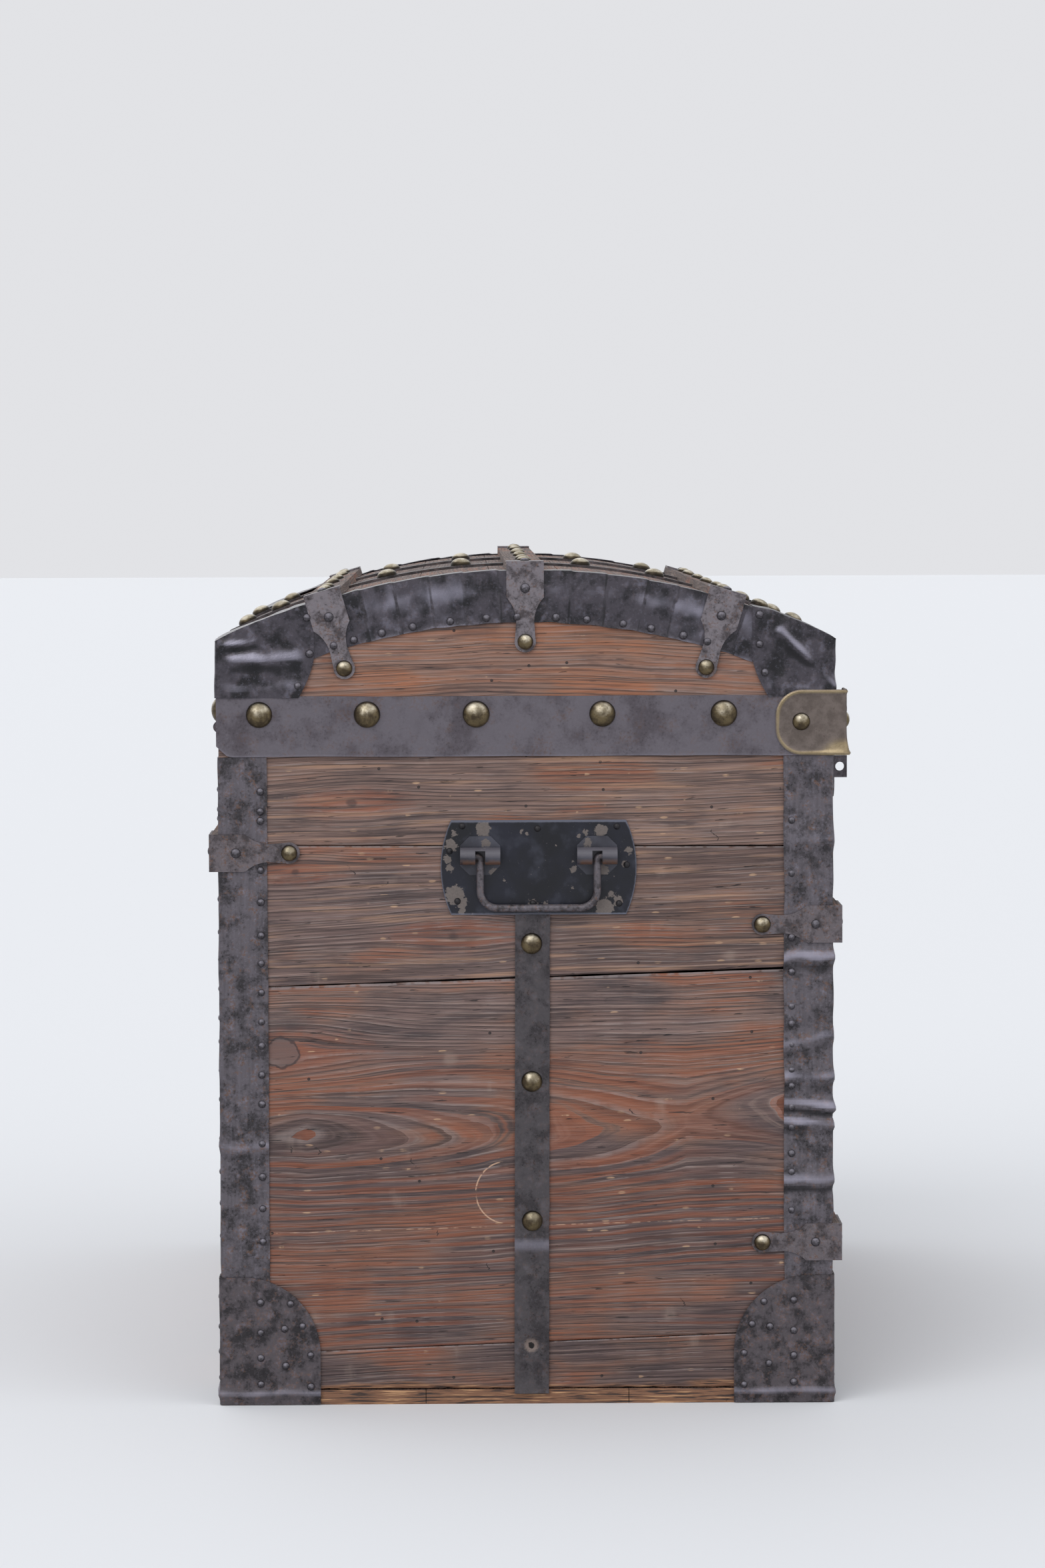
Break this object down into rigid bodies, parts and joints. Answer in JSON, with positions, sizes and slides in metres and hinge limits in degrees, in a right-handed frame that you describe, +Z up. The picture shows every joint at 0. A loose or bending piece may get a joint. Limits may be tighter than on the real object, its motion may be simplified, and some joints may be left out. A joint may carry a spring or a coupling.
{
  "type": "dome-lid travel trunk",
  "caption": "Dome-lid travel trunk of pine boards with iron corners, hoops, slats and brass nails, a hinged lid, swinging end handles, a front lock with a hasp and side catches.",
  "frame": {"origin": "centre of the base on the floor, under the middle of the body", "axes": "+Z up, +X along the trunk's length, -Y towards the lock side (front), +Y towards the hinges (back)"},
  "size_m": [0.8276, 0.4928, 0.6367],
  "materials": {
    "pine": "old weathered red-brown pine, open grain",
    "slat_wood": "grey-brown weathered hardwood",
    "sheet_iron": "dark rust-speckled sheet iron",
    "black_enamel": "worn black enamel",
    "dark_steel": "dull tarnished steel",
    "old_brass": "old darkened brass"
  },
  "bodies": {
    "trunk": {"base_boards": "pine", "near_end_boards": "pine", "far_end_boards": "pine", "front_boards": "pine", "back_boards": "pine", "front_slat_upper": "slat_wood", "front_slat_lower": "slat_wood", "back_slat": "slat_wood", "near_corner_irons": "sheet_iron", "far_corner_irons": "sheet_iron", "near_base_caps": "sheet_iron", "far_base_caps": "sheet_iron", "centre_straps": "sheet_iron", "body_slat_clamps": "sheet_iron", "near_handle_plate": "black_enamel", "far_handle_plate": "black_enamel", "near_handle_loops": "black_enamel", "far_handle_loops": "black_enamel", "hinge_body_leaves": "dark_steel", "hinge_pins": "dark_steel", "catch_keepers": "dark_steel", "handle_rivets": "dark_steel", "body_screws": "dark_steel", "strap_nails": "old_brass", "body_slat_nails": "old_brass", "lock_case": "old_brass"},
    "lid": {"near_lid_end_board": "pine", "far_lid_end_board": "pine", "lid_front_board": "pine", "lid_back_board": "pine", "lid_staves": "pine", "near_lid_caps": "sheet_iron", "far_lid_caps": "sheet_iron", "near_lid_edging": "sheet_iron", "far_lid_edging": "sheet_iron", "near_rim_band": "sheet_iron", "far_rim_band": "sheet_iron", "lid_hoops": "sheet_iron", "front_rim_rail": "pine", "front_rim_band": "sheet_iron", "back_rim_band": "sheet_iron", "rim_corner_caps": "old_brass", "lid_slat_front": "slat_wood", "lid_slat_middle": "slat_wood", "lid_slat_back": "slat_wood", "lid_slat_clamps": "sheet_iron", "lid_slat_nails": "old_brass", "hinge_lid_leaves": "dark_steel", "hasp_leaves": "dark_steel", "hasp_pins": "dark_steel", "rim_nails": "old_brass", "hoop_nails": "old_brass", "lid_screws": "dark_steel"},
    "near_bail": {"near_bail": "black_enamel"},
    "far_bail": {"far_bail": "black_enamel"},
    "lock_hasp": {"lock_hasp": "old_brass"},
    "near_catch": {"near_catch": "dark_steel"},
    "far_catch": {"far_catch": "dark_steel"},
    "lock_bolt": {"lock_bolt": "dark_steel"}
  },
  "joints": [
    {"name": "lid_hinge", "type": "hinge", "parent": "trunk", "child": "lid", "pos_m": [0, 0.2361, 0.5042], "axis": [-1, 0, 0], "range_deg": [0, 105]},
    {"name": "near_bail_swing", "type": "hinge", "parent": "trunk", "child": "near_bail", "pos_m": [-0.4073, -0.0095, 0.4145], "axis": [0, 1, 0], "range_deg": [0, 95]},
    {"name": "far_bail_swing", "type": "hinge", "parent": "trunk", "child": "far_bail", "pos_m": [0.4073, -0.0095, 0.4145], "axis": [0, -1, 0], "range_deg": [0, 95]},
    {"name": "lock_hasp_swing", "type": "hinge", "parent": "lid", "child": "lock_hasp", "pos_m": [0, -0.2436, 0.51], "axis": [-1, 0, 0], "range_deg": [0, 120]},
    {"name": "near_catch_swing", "type": "hinge", "parent": "lid", "child": "near_catch", "pos_m": [-0.25, -0.2436, 0.51], "axis": [-1, 0, 0], "range_deg": [0, 120]},
    {"name": "far_catch_swing", "type": "hinge", "parent": "lid", "child": "far_catch", "pos_m": [0.25, -0.2436, 0.51], "axis": [-1, 0, 0], "range_deg": [0, 120]},
    {"name": "lock_bolt_slide", "type": "slide", "parent": "trunk", "child": "lock_bolt", "axis": [1, 0, 0], "range_m": [0, 0.008]}
  ]
}
